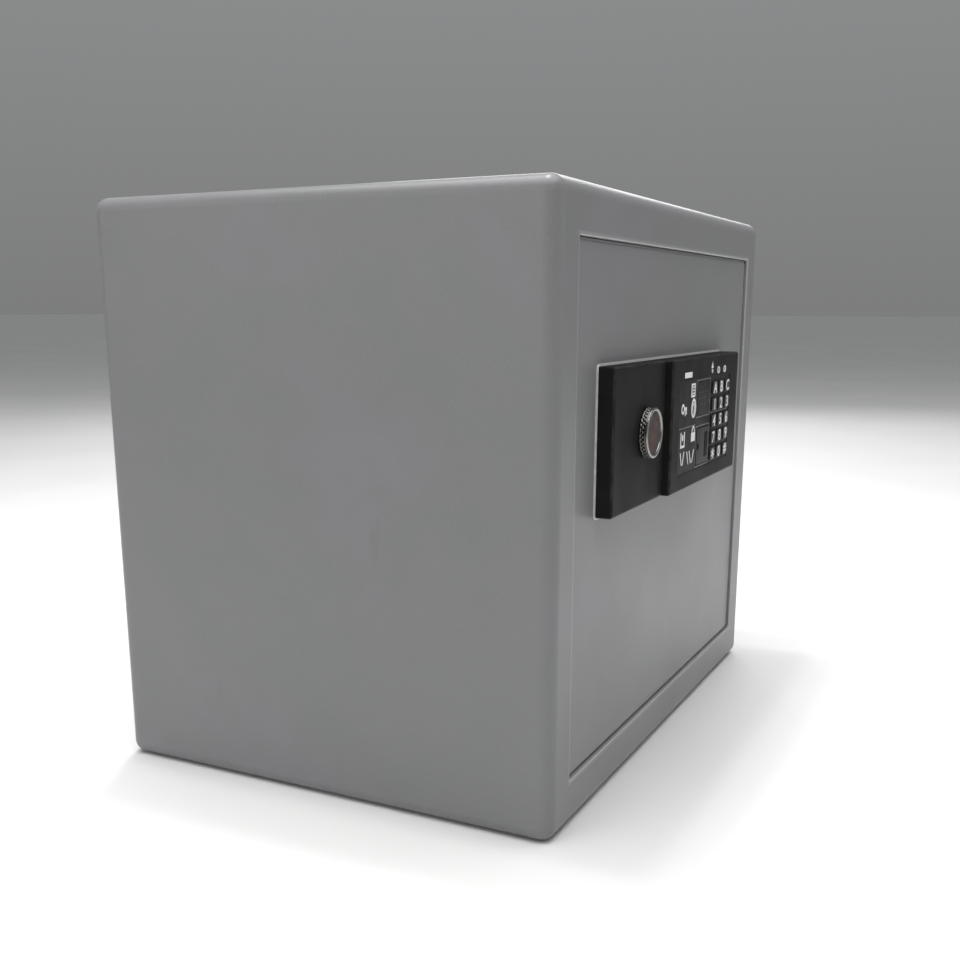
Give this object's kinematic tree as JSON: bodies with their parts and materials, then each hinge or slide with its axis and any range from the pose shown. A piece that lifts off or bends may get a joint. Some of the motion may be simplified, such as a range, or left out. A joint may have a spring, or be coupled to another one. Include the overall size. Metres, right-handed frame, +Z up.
{
  "type": "in room safe",
  "caption": "Compact steel in-room safe with rounded edges, an inset side-hinged door, sliding bolts, a round knob and a stepped electronic keypad lock.",
  "frame": {"origin": "centre of the cabinet's flat base", "axes": "+Z up, the door faces -Y, +X to the right as the door is faced"},
  "size_m": [0.404, 0.3152, 0.35],
  "materials": {
    "cabinet_coat": "satin powder coat",
    "zinc_steel": "zinc plated",
    "bright_steel": "turned",
    "screw_steel": "blackened zinc",
    "floor_felt": "needle felt",
    "case_plastic": "fine texture",
    "pale_gasket": "matte",
    "fascia_film": "satin film",
    "dark_window": "glossy",
    "board_black": "matte",
    "light_lens": "clear lens",
    "silicone": "matte",
    "board_green": "solder mask",
    "brass_bush": "turned",
    "coil_tape": "tape wrap",
    "cell_sleeve": "printed sleeve",
    "contact_metal": "nickel plated",
    "button_red": "moulded",
    "cable_film": "ribbon",
    "knob_chrome": "satin chrome",
    "knob_face": "dull paint",
    "bolt_chrome": "polished",
    "key_plastic": "moulded"
  },
  "bodies": {
    "cabinet": {"body_shell": "cabinet_coat", "door_frame": "cabinet_coat", "hinge_brackets": "zinc_steel", "hinge_pins": "bright_steel", "shelf": "cabinet_coat", "shelf_pegs": "zinc_steel", "floor_mat": "floor_felt"},
    "door": {"door_panel": "cabinet_coat", "hinge_blocks": "zinc_steel", "lock_chassis": "cabinet_coat", "lock_cover": "cabinet_coat", "cover_screws": "screw_steel", "case_screws": "screw_steel", "knob_housing": "case_plastic", "keypad_housing": "case_plastic", "case_gasket": "pale_gasket", "keypad_fascia": "fascia_film", "display_window": "dark_window", "display_module": "board_black", "indicator_lights": "light_lens", "keypad_membrane": "silicone", "circuit_board": "board_green", "spindle_bush": "brass_bush", "solenoid_frame": "zinc_steel", "solenoid_coil": "coil_tape", "lock_barrel": "brass_bush", "battery_holder": "case_plastic", "batteries": "cell_sleeve", "battery_contacts": "contact_metal", "reset_switch": "board_black", "flat_cable": "cable_film"},
    "knob": {"knob_ring": "knob_chrome", "knob_cap": "knob_face", "knob_spindle": "bright_steel", "knob_cam": "zinc_steel"},
    "bolt_work": {"bolt_carrier": "zinc_steel", "locking_bolts": "bolt_chrome", "bolt_nuts": "zinc_steel"},
    "plunger": {"solenoid_plunger": "bright_steel"},
    "emergency_plug": {"lock_plug": "brass_bush", "lock_tail": "zinc_steel"},
    "emergency_cover": {"emergency_cover": "dark_window"},
    "battery_cover": {"battery_cover": "case_plastic"},
    "reset_button": {"reset_button": "button_red"},
    "key_01": {"key_01": "key_plastic"},
    "key_02": {"key_02": "key_plastic"},
    "key_03": {"key_03": "key_plastic"},
    "key_04": {"key_04": "key_plastic"},
    "key_05": {"key_05": "key_plastic"},
    "key_06": {"key_06": "key_plastic"},
    "key_07": {"key_07": "key_plastic"},
    "key_08": {"key_08": "key_plastic"},
    "key_09": {"key_09": "key_plastic"},
    "key_10": {"key_10": "key_plastic"},
    "key_11": {"key_11": "key_plastic"},
    "key_12": {"key_12": "key_plastic"},
    "key_13": {"key_13": "key_plastic"},
    "key_14": {"key_14": "key_plastic"},
    "key_15": {"key_15": "key_plastic"}
  },
  "joints": [
    {"name": "door_hinge", "type": "hinge", "parent": "cabinet", "child": "door", "pos_m": [0.1616, -0.1415, 0.175], "axis": [0, 0, 1], "range_deg": [0, 105]},
    {"name": "bolt_slide", "type": "slide", "parent": "door", "child": "bolt_work", "axis": [-1, 0, 0], "range_m": [0, 0.02]},
    {"name": "knob_turn", "type": "hinge", "parent": "door", "child": "knob", "pos_m": [-0.085, -0.16, 0.215], "axis": [0, -1, 0], "range_deg": [0, 90]},
    {"name": "plunger_slide", "type": "slide", "parent": "door", "child": "plunger", "axis": [0, 0, 1], "range_m": [0, 0.006]},
    {"name": "emergency_turn", "type": "hinge", "parent": "door", "child": "emergency_plug", "pos_m": [0.0195, -0.14, 0.1968], "axis": [0, -1, 0], "range_deg": [0, 90]},
    {"name": "emergency_cover_pull", "type": "slide", "parent": "door", "child": "emergency_cover", "axis": [0, -1, 0], "range_m": [0, 0.012]},
    {"name": "battery_cover_lift", "type": "slide", "parent": "door", "child": "battery_cover", "axis": [0, 1, 0], "range_m": [0, 0.02]},
    {"name": "reset_press", "type": "slide", "parent": "door", "child": "reset_button", "axis": [0, -1, 0], "range_m": [0, 0.0015], "stiffness_N_per_m": 250},
    {"name": "key_01_press", "type": "slide", "parent": "door", "child": "key_01", "axis": [0, 1, 0], "range_m": [0, 0.001], "stiffness_N_per_m": 250},
    {"name": "key_02_press", "type": "slide", "parent": "door", "child": "key_02", "axis": [0, 1, 0], "range_m": [0, 0.001], "stiffness_N_per_m": 250},
    {"name": "key_03_press", "type": "slide", "parent": "door", "child": "key_03", "axis": [0, 1, 0], "range_m": [0, 0.001], "stiffness_N_per_m": 250},
    {"name": "key_04_press", "type": "slide", "parent": "door", "child": "key_04", "axis": [0, 1, 0], "range_m": [0, 0.001], "stiffness_N_per_m": 250},
    {"name": "key_05_press", "type": "slide", "parent": "door", "child": "key_05", "axis": [0, 1, 0], "range_m": [0, 0.001], "stiffness_N_per_m": 250},
    {"name": "key_06_press", "type": "slide", "parent": "door", "child": "key_06", "axis": [0, 1, 0], "range_m": [0, 0.001], "stiffness_N_per_m": 250},
    {"name": "key_07_press", "type": "slide", "parent": "door", "child": "key_07", "axis": [0, 1, 0], "range_m": [0, 0.001], "stiffness_N_per_m": 250},
    {"name": "key_08_press", "type": "slide", "parent": "door", "child": "key_08", "axis": [0, 1, 0], "range_m": [0, 0.001], "stiffness_N_per_m": 250},
    {"name": "key_09_press", "type": "slide", "parent": "door", "child": "key_09", "axis": [0, 1, 0], "range_m": [0, 0.001], "stiffness_N_per_m": 250},
    {"name": "key_10_press", "type": "slide", "parent": "door", "child": "key_10", "axis": [0, 1, 0], "range_m": [0, 0.001], "stiffness_N_per_m": 250},
    {"name": "key_11_press", "type": "slide", "parent": "door", "child": "key_11", "axis": [0, 1, 0], "range_m": [0, 0.001], "stiffness_N_per_m": 250},
    {"name": "key_12_press", "type": "slide", "parent": "door", "child": "key_12", "axis": [0, 1, 0], "range_m": [0, 0.001], "stiffness_N_per_m": 250},
    {"name": "key_13_press", "type": "slide", "parent": "door", "child": "key_13", "axis": [0, 1, 0], "range_m": [0, 0.001], "stiffness_N_per_m": 250},
    {"name": "key_14_press", "type": "slide", "parent": "door", "child": "key_14", "axis": [0, 1, 0], "range_m": [0, 0.001], "stiffness_N_per_m": 250},
    {"name": "key_15_press", "type": "slide", "parent": "door", "child": "key_15", "axis": [0, 1, 0], "range_m": [0, 0.001], "stiffness_N_per_m": 250}
  ],
  "couplings": [
    {"joint": "knob_turn", "follows": "bolt_slide", "rad_per_m": 78.54}
  ]
}
